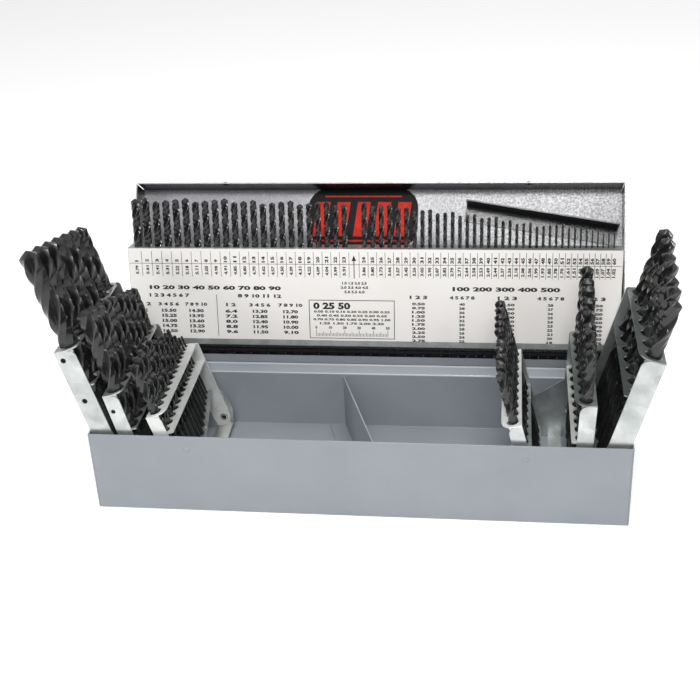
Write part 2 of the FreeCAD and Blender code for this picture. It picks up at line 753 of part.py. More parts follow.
# Save every piece
os.makedirs("parts", exist_ok=True)
for node, shape in parts.items():
    shape.exportStep(os.path.join("parts", node + ".step"))
    print(node, len(shape.Solids), round(shape.Volume, 1), shape.isValid())
print("hinge axis", hinge, "panel pivot", panel_pivot, "panel lean", panel_lean)
for name, pivot in pivots.items():
    print("pivot", name, pivot)
bore_point = swung.multVec(Vector(centre_x, panel_row_depth, panel_height - sheet / 2))
bore_axis = swung.Rotation.multVec(Vector(0, 0, 1))
print("centre drill bore", centre_x, bore_point, bore_axis)
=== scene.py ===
import math
import bpy
import numpy as np
from mathutils import Matrix, Vector


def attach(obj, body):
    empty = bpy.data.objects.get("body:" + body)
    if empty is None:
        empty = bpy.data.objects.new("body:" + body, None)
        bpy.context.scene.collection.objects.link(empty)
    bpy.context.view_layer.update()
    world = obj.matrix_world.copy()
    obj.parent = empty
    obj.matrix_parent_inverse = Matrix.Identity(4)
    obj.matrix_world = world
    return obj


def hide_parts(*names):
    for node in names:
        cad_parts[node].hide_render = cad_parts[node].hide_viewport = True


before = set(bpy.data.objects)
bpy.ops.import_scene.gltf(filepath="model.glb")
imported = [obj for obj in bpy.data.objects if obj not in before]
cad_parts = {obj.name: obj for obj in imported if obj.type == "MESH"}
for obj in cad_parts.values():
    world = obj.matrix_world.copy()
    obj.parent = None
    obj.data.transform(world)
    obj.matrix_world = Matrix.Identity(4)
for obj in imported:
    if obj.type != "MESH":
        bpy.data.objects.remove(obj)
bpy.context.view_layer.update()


# Bench, lights and camera: a white studio table with soft light from above and in front.
# The camera's place and lens were solved from the case's corners in the photograph.
azimuth, elevation, roll = math.radians(9.72), math.radians(29.13), math.radians(-3.65)
back = Vector((math.sin(azimuth) * math.cos(elevation),
               -math.cos(azimuth) * math.cos(elevation), math.sin(elevation)))
level = Vector((math.cos(azimuth), math.sin(azimuth), 0))
above = back.cross(level)
right = math.cos(roll) * level + math.sin(roll) * above
upright = math.cos(roll) * above - math.sin(roll) * level
aim, far = Vector((-0.03061, 0, 0.07492)), 0.82898
focal_px, picture_px, centre_px = 1257.07, 700, (315, 370)
camera = bpy.data.objects.new("camera", bpy.data.cameras.new("camera"))
bpy.context.collection.objects.link(camera)
camera.matrix_world = Matrix.Translation(aim + back * far) @ Matrix(
    (right, upright, back)).transposed().to_4x4()
camera.data.lens, camera.data.sensor_width = focal_px / picture_px * 36, 36
camera.data.shift_x = (picture_px / 2 - centre_px[0]) / picture_px
camera.data.shift_y = (centre_px[1] - picture_px / 2) / picture_px
camera.data.clip_start = 0.01
bpy.context.scene.camera = camera
bpy.context.scene.view_settings.view_transform = "Standard"


def soft_light(name, place, target, size, power):
    data = bpy.data.lights.new(name, "AREA")
    data.shape, data.size, data.size_y, data.energy = "RECTANGLE", size[0], size[1], power
    lamp = bpy.data.objects.new(name, data)
    bpy.context.collection.objects.link(lamp)
    lamp.location = place
    lamp.rotation_euler = (Vector(target) - Vector(place)).to_track_quat("-Z", "Y").to_euler()


soft_light("front_softbox", (0.07, -1.29, 1.57), (0, 0.1, 0.1), (0.9, 0.6), 14)
soft_light("top_softbox", (0.25, 0.1, 1.5), (0, 0, 0.05), (0.9, 0.7), 7)
soft_light("small_lamp", (0.03, -0.75, 1.0), (0, 0, 0.08), (0.1, 0.1), 2.0)
soft_light("left_lamp", (-0.95, -0.45, 0.7), (0.17, 0, 0.1), (0.13, 0.13), 2.6)
soft_light("right_lamp", (0.95, -0.4, 0.75), (-0.17, 0, 0.1), (0.13, 0.13), 1.2)


def fill(tree, slot, value):
    """Links a socket to the slot, or sets the slot to a constant."""
    if isinstance(value, bpy.types.NodeSocket):
        tree.links.new(value, slot)
    else:
        slot.default_value = value


def combined(tree, operation, *values):
    step = tree.nodes.new("ShaderNodeMath")
    step.operation = operation
    for value, slot in zip(values, step.inputs):
        fill(tree, slot, value)
    return step.outputs[0]


def spread_to(tree, source, low, high, new_low, new_high):
    ramp = tree.nodes.new("ShaderNodeMapRange")
    for slot, value in zip(ramp.inputs[1:5], (low, high, new_low, new_high)):
        slot.default_value = value
    tree.links.new(source, ramp.inputs[0])
    return ramp.outputs[0]


world = bpy.data.worlds.new("studio")
bpy.context.scene.world = world
world.use_nodes = True
studio = world.node_tree
studio.nodes.clear()
rays = studio.nodes.new("ShaderNodeLightPath")
room = studio.nodes.new("ShaderNodeTexCoord")
parts = studio.nodes.new("ShaderNodeSeparateXYZ")
studio.links.new(room.outputs["Generated"], parts.inputs[0])
shade = studio.nodes.new("ShaderNodeMix")
shade.data_type = "FLOAT"
for slot, value in ((shade.inputs[0], rays.outputs["Is Camera Ray"]),
                    (shade.inputs[2], spread_to(studio, parts.outputs["Z"], 0.05, 0.8, 0.8, 0.3)),
                    (shade.inputs[3], 1.0)):
    fill(studio, slot, value)
glow = studio.nodes.new("ShaderNodeBackground")
studio.links.new(shade.outputs[0], glow.inputs["Strength"])
out = studio.nodes.new("ShaderNodeOutputWorld")
studio.links.new(glow.outputs[0], out.inputs[0])

floor_mesh = bpy.data.meshes.new("floor")
floor_mesh.from_pydata([(-4, -3, 0), (4, -3, 0), (4, 5, 0), (-4, 5, 0)], [], [(0, 1, 2, 3)])
floor = bpy.data.objects.new("floor", floor_mesh)
bpy.context.collection.objects.link(floor)
table = bpy.data.materials.new("table")
table.use_nodes = True
surface = table.node_tree
surface.nodes.clear()
rays = surface.nodes.new("ShaderNodeLightPath")
lit = combined(surface, "MAXIMUM", rays.outputs["Is Camera Ray"], rays.outputs["Is Glossy Ray"])
glow = surface.nodes.new("ShaderNodeEmission")
surface.links.new(combined(surface, "MULTIPLY", lit, 0.45), glow.inputs["Strength"])
matt = surface.nodes.new("ShaderNodeBsdfDiffuse")
matt.inputs["Color"].default_value = (0.86, 0.86, 0.86, 1)
both = surface.nodes.new("ShaderNodeAddShader")
surface.links.new(matt.outputs[0], both.inputs[0])
surface.links.new(glow.outputs[0], both.inputs[1])
out = surface.nodes.new("ShaderNodeOutputMaterial")
surface.links.new(both.outputs[0], out.inputs[0])
floor_mesh.materials.append(table)


# Base tray and its slanted divider: folded 0.9 mm steel sheet, baked grey enamel.
# The enamel dries with a fine orange peel, and the bends of the back wall's ledge carry a painted
# highlight, a little paler.
mm = 0.001


def node_group(name, inputs, outputs):
    group = bpy.data.node_groups.new(name, "ShaderNodeTree")
    for label, kind, value in inputs:
        socket = group.interface.new_socket(label, in_out="INPUT", socket_type=kind)
        if value is not None:
            socket.default_value = value
    for label, kind in outputs:
        group.interface.new_socket(label, in_out="OUTPUT", socket_type=kind)
    return group, group.nodes.new("NodeGroupInput"), group.nodes.new("NodeGroupOutput")


def object_place(tree):
    return tree.nodes.new("ShaderNodeTexCoord").outputs["Object"]


def noise(tree, scale, detail, source, stretch=(1, 1, 1)):
    place = tree.nodes.new("ShaderNodeMapping")
    place.inputs["Scale"].default_value = stretch
    tree.links.new(source, place.inputs["Vector"])
    cloud = tree.nodes.new("ShaderNodeTexNoise")
    cloud.inputs["Scale"].default_value = scale
    cloud.inputs["Detail"].default_value = detail
    tree.links.new(place.outputs[0], cloud.inputs["Vector"])
    return cloud.outputs["Fac"]


def blend_colour(tree, share, first, second, mode="MIX"):
    mix = tree.nodes.new("ShaderNodeMix")
    mix.data_type, mix.blend_type = "RGBA", mode
    for slot, value in ((mix.inputs[0], share), (mix.inputs[6], first), (mix.inputs[7], second)):
        fill(tree, slot, value)
    return mix.outputs[2]


def mottled(tree, shader, cloud, low, high, first, second):
    """Base colour that goes from the first to the second as a noise goes from low to high."""
    tree.links.new(blend_colour(tree, spread_to(tree, cloud, low, high, 0, 1), (*first, 1),
                                (*second, 1)), shader.inputs["Base Color"])


def bumped(tree, shader, height, distance, strength):
    bump = tree.nodes.new("ShaderNodeBump")
    bump.inputs["Distance"].default_value = distance
    bump.inputs["Strength"].default_value = strength
    tree.links.new(height, bump.inputs["Height"])
    tree.links.new(bump.outputs[0], shader.inputs["Normal"])


peel, taken, given = node_group(
    "orange_peel", [("Scale", "NodeSocketFloat", 900.0), ("Depth", "NodeSocketFloat", 0.2)],
    [("Height", "NodeSocketFloat"), ("Mottle", "NodeSocketFloat")])
place = object_place(peel)
cells = peel.nodes.new("ShaderNodeTexNoise")
cells.inputs["Detail"].default_value = 2
peel.links.new(place, cells.inputs["Vector"])
peel.links.new(taken.outputs["Scale"], cells.inputs["Scale"])
peel.links.new(combined(peel, "MULTIPLY", cells.outputs["Fac"], taken.outputs["Depth"]),
               given.inputs["Height"])
peel.links.new(noise(peel, 22, 3, place), given.inputs["Mottle"])


def finish_with(name, rough, metal=0.0):
    stuff = bpy.data.materials.new(name)
    stuff.use_nodes = True
    tree = stuff.node_tree
    shader = tree.nodes["Principled BSDF"]
    shader.inputs["Roughness"].default_value = rough
    shader.inputs["Metallic"].default_value = metal
    return stuff, tree, shader


def enamel(name, colour, pale_tone_and_painted_highlight, rough, depth, scale=900.0):
    stuff, tree, shader = finish_with(name, rough)
    skin = tree.nodes.new("ShaderNodeGroup")
    skin.node_tree = peel
    skin.inputs["Scale"].default_value = scale
    skin.inputs["Depth"].default_value = depth
    mottled(tree, shader, skin.outputs["Mottle"], 0.35, 0.75, colour, pale_tone_and_painted_highlight)
    tree.links.new(spread_to(tree, skin.outputs["Mottle"], 0.3, 0.7, rough - 0.05, rough + 0.05),
                   shader.inputs["Roughness"])
    bumped(tree, shader, skin.outputs["Height"], 0.0004, 0.6)
    return stuff


def dress(node, stuff):
    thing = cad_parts[node]
    thing.data.materials.clear()
    thing.data.materials.append(stuff)


grey_enamel = enamel("grey_enamel", (0.285, 0.31, 0.345), (0.32, 0.345, 0.38), 0.42, 0.35)
gloss = grey_enamel.node_tree.nodes["Principled BSDF"]
gloss.inputs["Coat Weight"].default_value = 0.4
gloss.inputs["Coat Roughness"].default_value = 0.1
tree = grey_enamel.node_tree
parts = tree.nodes.new("ShaderNodeSeparateXYZ")
tree.links.new(object_place(tree), parts.inputs[0])

# Painted highlight: two pale lines in the colour along the bends of the back wall's ledge, where
# they catch the lamps; the numbers are in metres
upper_bend, lower_bend, half_line = 0.0476, 0.0431, 0.00036
lines = [combined(tree, "COMPARE", parts.outputs["Z"], height, half_line)
         for height in (upper_bend, lower_bend)]
pale_tone_and_painted_highlight = combined(tree, "MULTIPLY", combined(tree, "ADD", *lines),
                spread_to(tree, parts.outputs["Y"], 0.0505, 0.0508, 0, 0.75))
paint = gloss.inputs["Base Color"].links[0].from_socket
tree.links.new(blend_colour(tree, pale_tone_and_painted_highlight, paint, (0.62, 0.65, 0.69, 1)),
               gloss.inputs["Base Color"])
dress("divider", grey_enamel)
half_width, half_depth, base_height, sheet = 171.45, 58.3828, 57.15, 0.9
back_set_in, wall_drop, hinge_half = 6.0, 2.35, 165.0


def make_piece(name, verts, faces, stuff, slot, body, smooth=True, sharp=None):
    """Puts arrays of points in mm and of corner indices into a mesh that rides on a body."""
    mesh = bpy.data.meshes.new(name)
    mesh.from_pydata(verts * mm, [], faces if isinstance(faces, list) else faces.tolist())
    mesh.polygons.foreach_set("use_smooth", np.full(len(mesh.polygons), smooth))
    if sharp:
        mesh.set_sharp_from_angle(angle=math.radians(sharp))
    mesh.materials.append(stuff)
    mesh.update()
    piece = bpy.data.objects.new(name, mesh)
    bpy.context.collection.objects.link(piece)
    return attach(piece, body)


def soften(piece, width):
    edge = piece.modifiers.new("rolled_edges", "BEVEL")
    edge.width, edge.segments, edge.limit_method = width * mm, 2, "ANGLE"
    edge.angle_limit = math.radians(40)


def grid_faces(rows, cols):
    """Quads of a grid of points stored row by row, joined round each row."""
    r = np.arange(rows - 1)[:, None]
    c = np.arange(cols)[None, :]
    nxt = (c + 1) % cols
    return np.stack([r * cols + c, r * cols + nxt, (r + 1) * cols + nxt,
                     (r + 1) * cols + c], -1).reshape(-1, 4)


def gathered(shapes):
    """Joins several (points, faces) pairs into one, moving each one's indices along."""
    points, faces, start = [], [], 0
    for verts, quads in shapes:
        points.append(verts)
        faces += [[i + start for i in face] for face in
                  (quads if isinstance(quads, list) else quads.tolist())]
        start += len(verts)
    return np.concatenate(points), faces


def turned(profile, centre, axis, across, steps=24):
    """Surface of revolution: each profile pair (radius, distance) is swept round the axis."""
    axis, across = np.array(axis, float), np.array(across, float)
    third = np.cross(axis, across)
    turn = np.linspace(0, 2 * np.pi, steps, endpoint=False)
    rad, run = np.array(profile, float).T
    ring = np.cos(turn)[:, None] * across + np.sin(turn)[:, None] * third
    verts = (np.array(centre, float) + run[:, None, None] * axis
             + rad[:, None, None] * ring[None])
    return verts.reshape(-1, 3), grid_faces(len(rad), steps)


def round_corner(corner, before, after, radius, steps=8):
    """Points of the arc that rounds a corner between the directions to its neighbours."""
    corner, before, after = (np.array(v, float) for v in (corner, before, after))
    before, after = before / np.linalg.norm(before), after / np.linalg.norm(after)
    half = math.acos(np.clip(before @ after, -1, 1)) / 2
    centre = corner + (before + after) / np.linalg.norm(before + after) * radius / math.sin(half)
    start, stop = (corner + way * radius / math.tan(half) - centre for way in (before, after))
    turn = math.acos(np.clip(start @ stop / radius ** 2, -1, 1))
    t = np.linspace(0, 1, steps + 1)[:, None]
    return centre + (np.sin((1 - t) * turn) * start + np.sin(t * turn) * stop) / math.sin(turn)


def oblong(x, y):
    return np.array([(x[0], y[0]), (x[1], y[0]), (x[1], y[1]), (x[0], y[1])])


def slab(outline, low, high):
    """Straight walls over a closed outline (x, y) from low to high, with flat ends."""
    n = len(outline)
    verts = np.concatenate([np.c_[outline, np.full(n, z)] for z in (low, high)])
    ends = [list(range(n - 1, -1, -1)), list(range(n, 2 * n))]
    return verts, grid_faces(2, n).tolist() + ends


def folded_sheet(corners, radius, thickness, span):
    """Strip of sheet folded along x: the outer corners (y, z) get arcs, the inner skin is the
    same path moved in along its normals, and both are swept over the span of x."""
    corners = np.array(corners, float)
    path = [corners[0]]
    for before, corner, after in zip(corners, corners[1:], corners[2:]):
        path += round_corner(corner, before - corner, after - corner, radius, 5).tolist()
    path = np.array([*path, corners[-1]])
    step = np.diff(path, axis=0)
    step /= np.linalg.norm(step, axis=1, keepdims=True)
    along = np.concatenate([step[:1], step[:-1] + step[1:], step[-1:]])
    along /= np.linalg.norm(along, axis=1, keepdims=True)
    inner = path + np.stack([-along[:, 1], along[:, 0]], -1) * thickness
    ring = np.concatenate([path, inner[::-1]])
    n = len(ring)
    verts = np.concatenate([np.c_[np.full(n, x), ring] for x in span])
    caps = [[k, k + 1, n - k - 2, n - k - 1] for k in range(len(path) - 1)]
    return verts, (grid_faces(2, n).tolist() + [cap[::-1] for cap in caps]
                   + [[v + n for v in cap] for cap in caps])


ledge_drop, ledge_run, bend_radius = 9.35, 5.1, 1.4
ledge_high = base_height - ledge_drop
ledge_low = ledge_high - ledge_run
section = [(-half_depth, base_height), (-half_depth, 0), (half_depth - back_set_in, 0),
           (half_depth - back_set_in, ledge_low), (half_depth, ledge_high),
           (half_depth, base_height - wall_drop)]
shapes = [folded_sheet(section, bend_radius, sheet, (-half_width + sheet, half_width - sheet))]
end_path = np.array([section[0], *round_corner(section[1], (0, 1), (1, 0), bend_radius),
                     *round_corner(section[2], (-1, 0), (0, 1), bend_radius),
                     *section[3:5], (half_depth, base_height)])
beside_hinge = oblong((half_depth - sheet, half_depth), (base_height - wall_drop, base_height))
for side in (-1, 1):
    for outline, x in ((end_path, half_width), (beside_hinge, hinge_half + 0.3)):
        verts, faces = slab(outline, *sorted((side * x, side * (half_width - sheet))))
        shapes.append((verts[:, [2, 0, 1]], faces))
tray = make_piece("folded_tray", *gathered(shapes), grey_enamel, "base_paint", "base", sharp=40)
soften(tray, 0.28)
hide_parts("base_tray")

snap_out, snap_drop = 0.625, 9.5
snap = [(2.3, 0), (2.15, 0.08), (1.95, 0.3), (1.6, 0.5), (0.9, 0.62), (0.0, 0.65)]
make_piece("tray_snap_domes", *gathered([
    turned(snap, (side * half_width * snap_out, -half_depth, base_height - snap_drop),
           (0, -1, 0), (1, 0, 0)) for side in (-1, 1)]), grey_enamel, "base_paint", "base")


# Racks: bright zinc coated sheet, pierced, folded and staked together.
# Each has two end plates that turn on rivets, two pierced plates and a rest for the shanks.
zinc_flakes, taken, given = node_group(
    "zinc_flakes", [("Grain", "NodeSocketFloat", 160.0)],
    [("Tone", "NodeSocketFloat"), ("Height", "NodeSocketFloat")])
place = object_place(zinc_flakes)
flake = zinc_flakes.nodes.new("ShaderNodeTexVoronoi")
zinc_flakes.links.new(place, flake.inputs["Vector"])
zinc_flakes.links.new(taken.outputs["Grain"], flake.inputs["Scale"])
cloud = noise(zinc_flakes, 70, 5, place)
streak = noise(zinc_flakes, 500, 3, place, (1, 1, 0.05))
tone = combined(zinc_flakes, "MULTIPLY_ADD", flake.outputs["Color"], 0.22, cloud)
zinc_flakes.links.new(tone, given.inputs["Tone"])
zinc_flakes.links.new(streak, given.inputs["Height"])


def zinc(name, dark, light, rough, metal=0.75):
    stuff, tree, shader = finish_with(name, rough, metal)
    skin = tree.nodes.new("ShaderNodeGroup")
    skin.node_tree = zinc_flakes
    mottled(tree, shader, skin.outputs["Tone"], 0.42, 0.85, dark, light)
    tree.links.new(spread_to(tree, skin.outputs["Tone"], 0.4, 0.9, rough + 0.1, rough - 0.06),
                   shader.inputs["Roughness"])
    bumped(tree, shader, skin.outputs["Height"], 0.0002, 0.25)
    return stuff


bright_zinc = zinc("bright_zinc", (0.42, 0.45, 0.44), (0.66, 0.68, 0.675), 0.3)
# Darker and lighter copies of the same zinc: painted shade and painted light for plates that look
# dimmer or brighter where they stand
zinc_painted_shade = zinc("zinc_painted_shade", (0.19, 0.22, 0.21), (0.37, 0.4, 0.39), 0.3)
zinc_painted_light = zinc("zinc_painted_light", (0.66, 0.68, 0.66), (0.87, 0.88, 0.86), 0.42, 0.3)
for node in ("bracket_left_front", "bracket_left_back", "bracket_right_front",
             "bracket_right_back", "gauge_rest", "gauge_end_left", "gauge_end_right"):
    dress(node, bright_zinc)


def even_row(sizes, first, last):
    """Centres of holes of these sizes along a line, with equal webs between them."""
    sizes = np.array(sizes)
    web = (last - first - sizes.sum()) / (len(sizes) - 1)
    return first + np.concatenate([[0], np.cumsum(sizes[:-1] + web)]) + sizes / 2


def cut_at(outline, level, keep):
    """The part of a convex outline whose y is above (keep 1) or below (keep -1) a level."""
    ahead = np.roll(outline, -1, 0)
    inside = keep * (outline[:, 1] - level) > 1e-9
    kept = []
    for a, b, a_in, b_in in zip(outline, ahead, inside, np.roll(inside, -1)):
        if a_in:
            kept.append(a)
        if a_in != b_in:
            kept.append(a + (b - a) * (level - a[1]) / (b[1] - a[1]))
    return np.array(kept)


def pierced_sheet(outline, holes, low, high, steps=22):
    """Flat sheet with round holes (x, y, radius) in a row along y. The convex outline is cut
    into a cell for each hole. From each hole's centre rays go out over the cell, at even
    angles and at its corners, and the ring where they meet the cell's border is joined to
    the hole's own ring above, below and down the walls."""
    outline = np.array(outline, float)
    holes = sorted(holes, key=lambda hole: hole[1])
    cuts = [(b[1] - b[2] + a[1] + a[2]) / 2 for a, b in zip(holes, holes[1:])]
    shapes = []
    for (cx, cy, radius), start, stop in zip(holes, [None, *cuts], [*cuts, None]):
        cell = outline if start is None else cut_at(outline, start, 1)
        cell = cell if stop is None else cut_at(cell, stop, -1)
        centre = np.array([cx, cy])
        corner_turn = np.arctan2(*(cell - centre).T[::-1]) % (2 * np.pi)
        turn = np.unique(np.concatenate([np.arange(steps) * 2 * np.pi / steps,
                                         corner_turn]).round(6))
        way = np.stack([np.cos(turn), np.sin(turn)], -1)
        side = np.roll(cell, -1, 0) - cell
        normal = np.stack([side[:, 1], -side[:, 0]], -1)
        facing = way @ normal.T
        far = ((cell - centre) * normal).sum(-1)
        reach = np.where(facing > 1e-9, far / np.maximum(facing, 1e-9), np.inf).min(1)
        rim, bore = centre + way * reach[:, None], centre + way * radius
        n = len(turn)
        verts = np.concatenate([np.c_[ring, np.full(n, z)] for ring, z in
                                ((bore, high), (rim, high), (rim, low), (bore, low))])
        i = np.arange(n)
        j = (i + 1) % n
        outer = np.ones(n, bool)
        for level in (start, stop):
            if level is not None:
                on = np.abs(rim[:, 1] - level) < 1e-4
                outer &= ~(on[i] & on[j])
        faces = [np.c_[i, i + n, j + n, j], np.c_[i + n, i + 2 * n, j + 2 * n, j + n][outer],
                 np.c_[i + 2 * n, i + 3 * n, j + 3 * n, j + 2 * n],
                 np.c_[i + 3 * n, i, j, j + 3 * n]]
        shapes.append((verts, np.concatenate(faces)))
    return gathered(shapes)


def upended(shape):
    """Turns a flat shape (x, y, z) so that its y goes up and its thickness along the case."""
    verts, faces = shape
    return verts[:, [0, 2, 1]], [list(face)[::-1] for face in faces]


def mirrored(shape, side):
    verts, faces = shape
    if side > 0:
        return verts, faces
    return verts * np.array([-1, 1, 1]), [list(face)[::-1] for face in faces]


def block(x, y, z):
    """Box between two corners, faces outwards."""
    return slab(oblong(x, y), *z)


def spelled_out(runs):
    """Repeats each run's value as many times as its count says."""
    return [value for count, value in runs for _ in range(count)]


unit = 25.4
inch_lengths = [1.875, 2.0, 2.25, 2.625, 2.75, 2.875, 3.125, 3.25, 3.5, 3.625, 3.75, 3.875,
                4.0] + [4.125 + 0.125 * k for k in range(16)]
fractions = [(unit * (k + 4) / 64, unit * v) for k, v in enumerate(inch_lengths)][::-1]
letter_sizes = (0.234, 0.238, 0.242, 0.246, 0.250, 0.257, 0.261, 0.266, 0.272, 0.277, 0.281,
                0.290, 0.295, 0.302, 0.316, 0.323, 0.332, 0.339, 0.348, 0.358, 0.368, 0.377,
                0.386, 0.397, 0.404, 0.413)
letter_runs = ((1, 3.875), (4, 4.0), (5, 4.125), (2, 4.25), (2, 4.375), (1, 4.5), (1, 4.625),
               (2, 4.75), (2, 4.875), (2, 5.0), (2, 5.125), (2, 5.25))
letters = [(unit * a, unit * b) for a, b in zip(letter_sizes, spelled_out(letter_runs))]
rack_front, rack_length = -54.9828, 97.9656
rack_back = rack_front + rack_length
outer_x = 152.6718

# Of each rack: x and z of its pivot, its lean outwards in degrees, the plates' width and how
# much of it lies behind the pivot, the round foot, the front plate's width, the height of the
# top plate, the drop to the mid plate, the rest and its rise to the back, the stake holes
# (across, up, radius) of the front plate and the drills (diameter, length) from the front
outer_rack = dict(x=outer_x, z=37.4, lean=15.5, width=16.0, edge=4.4, foot=3.9, end=13.6,
                  top=83.0, drop=27.0, rest=-3.5, rise=0.0)
middle_rack = dict(z=24.2, width=13.1, edge=4.6, foot=4.6, end=10.0, drop=27.0, rise=0.0)
inner_rack = dict(z=11.0, width=12.8, edge=4.6, foot=4.6, end=9.0)
racks = {
    "left_outer": dict(outer_rack, side=-1, holes=((7.7, 76.4, 1.8), (6.1, 45.8, 1.8)),
                       bits=fractions[:7]),
    "left_middle": dict(middle_rack, side=-1, x=outer_x - 16.7, lean=13.5, top=63.0,
                        rest=-10.0, holes=((5.3, 51.0, 1.5),), bits=fractions[7:16]),
    "left_inner": dict(inner_rack, side=-1, x=outer_x - 46.4, lean=17.0, top=62.4, drop=14.5,
                       rest=-6.0, rise=30.0, holes=(), bits=fractions[16:]),
    "right_outer": dict(outer_rack, side=1, holes=(), bits=letters[19:]),
    "right_middle": dict(middle_rack, side=1, x=outer_x - 15.3, lean=2.3, top=61.0,
                         rest=-12.5, holes=(), bits=letters[10:19]),
    "right_inner": dict(inner_rack, side=1, x=outer_x - 41.9, lean=-14.5, top=59.0, drop=27.0,
                        rest=-3.5, rise=0.0, holes=(), bits=letters[:10]),
}


def leaned(verts, rack):
    """Turns points of the upright rack about its pivot by its lean, then puts them in place."""
    a = math.radians(rack["lean"]) * rack["side"]
    x, y, z = verts.T
    return np.stack([rack["side"] * rack["x"] + x * math.cos(a) + z * math.sin(a), y,
                     rack["z"] - x * math.sin(a) + z * math.cos(a)], -1)


def rack_piece(name, what, shapes, stuff, sharp=None):
    """Mirrors upright shapes to the rack's side, leans them and lets them ride on the rack."""
    verts, faces = mirrored(gathered(shapes), racks[name]["side"])
    return make_piece(f"{name}_{what}", leaned(verts, racks[name]), faces, stuff, "galvanised",
                      "rack_" + name, sharp=sharp)


# Near-black finish: the hinge knuckles, and discs that stand for painted shade in the stake holes
# and the hollow rivet ends
dark_recess, _, shader = finish_with("dark_recess", 0.7)
shader.inputs["Base Color"].default_value = (0.006, 0.006, 0.007, 1)
shader.inputs["Specular IOR Level"].default_value = 0.2
# Plates that get the darker copy (painted shade) or the lighter copy (painted light) instead of
# the plain zinc
plates_with_painted_light = {"right_outer_top_plate": zinc_painted_shade, "right_outer_mid_plate": zinc_painted_shade,
              "right_middle_top_plate": zinc_painted_shade, "right_middle_mid_plate": zinc_painted_light,
              "right_inner_top_plate": zinc_painted_light, "left_inner_top_plate": zinc_painted_light,
              "left_inner_mid_plate": zinc_painted_light, "left_inner_end_plates": zinc_painted_light}
row_margin, row_gap, hole_shift, hole_slack = 1.6, 3.0, 0.45, 0.75
tab_height, neck, heel, rest_slack, stake_rim, stake_depth = 4.0, 21.0, 9.0, 0.3, 0.1, 0.6
rack_rows = {}
for name, rack in racks.items():
    side, edge = rack["side"], rack["edge"]
    reach = rack["width"] - edge
    sizes = [d for d, _ in rack["bits"]]
    row = reach - row_margin - max(sizes) / 2
    centres = even_row(sizes, rack_front + row_gap, rack_back - row_gap)
    slope = rack["rise"] / (rack_length - 2 * sheet)
    rack_rows[name] = [(side * row, y, rack["rest"] + (y + d / 2 - rack_front - sheet) * slope,
                        d, length) for y, (d, length) in zip(centres, rack["bits"])]
    mid = rack["top"] - rack["drop"]
    for piece, up, y0, y1, corner in (("top_plate", rack["top"], rack_front, rack_back, 8.0),
                                      ("mid_plate", mid, rack_front + sheet,
                                       rack_back - sheet, 1.0)):
        holes = [(row - hole_shift, y, d / 2 + hole_slack) for y, d in zip(centres, sizes)]
        outline = [*round_corner((-edge, y1), (1, 0), (0, -1), corner),
                   *round_corner((-edge, y0), (0, 1), (1, 0), corner), (reach, y0), (reach, y1)]
        shapes = [pierced_sheet(outline, holes, up - sheet, up)]
        tab = (reach - rack["end"] + sheet, reach - sheet)
        for tab_y in (rack_front + sheet, rack_back - 2 * sheet):
            shapes.append(block(tab, (tab_y, tab_y + sheet), (up - tab_height, up - sheet)))
        plate = rack_piece(name, f"pierced_{piece}", shapes,
                           plates_with_painted_light.get(f"{name}_{piece}", bright_zinc), 35)
        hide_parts(f"{name}_{piece}")

    # End plates: rounded inner shoulder, flared foot that is rounded about the pivot
    half_rest = max(sizes) / 2 + rest_slack
    foot = rack["foot"]
    low = min(rack["rest"] - sheet, -foot)
    shapes, stake_shade_discs = [], []
    for y, inner in ((rack_front, reach - rack["end"]), (rack_back - sheet, -edge)):
        arc = [(-foot * math.cos(a), -foot * math.sin(a)) for a in np.linspace(0, 0.785, 7)]
        below = [*arc, (min(row - half_rest, -foot / 2), low), (row + half_rest, low),
                 (reach, low + heel), (reach, neck), (inner, neck), (-foot, heel)]
        shoulder = 5.0 if inner > -edge else 2.0
        above = [(inner, neck), (reach, neck), (reach, rack["top"] - sheet),
                 *round_corner((inner, rack["top"] - sheet), (1, 0), (0, -1), shoulder)]
        shapes.append(upended(slab(np.array(below), y, y + sheet)))
        if rack["holes"] and y == rack_front:
            shapes.append(upended(pierced_sheet(above, rack["holes"], y, y + sheet)))
            # Near-black discs a little inside the stake holes: painted shade in the holes
            stake_shade_discs += [turned([(r + stake_rim, 0), (0, 0)], (u, y + stake_depth, s), (0, -1, 0),
                             (1, 0, 0)) for u, s, r in rack["holes"]]
        else:
            shapes.append(upended(slab(np.array(above), y, y + sheet)))
    plates = rack_piece(name, "end_plates", shapes,
                        plates_with_painted_light.get(f"{name}_end_plates", bright_zinc), 35)
    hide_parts(f"{name}_end_front", f"{name}_end_back")
    dress(f"{name}_rest", bright_zinc)
    if stake_shade_discs:
        rack_piece(name, "stake_hole_shade", stake_shade_discs, dark_recess)
    if rack["rise"]:
        strip = block((-edge, reach), (rack_front + sheet, rack_back - sheet), (low, low + sheet))
        # The bottom strip gets the lighter zinc copy: painted light
        rack_piece(name, "bottom_strip", [strip], zinc_painted_light)


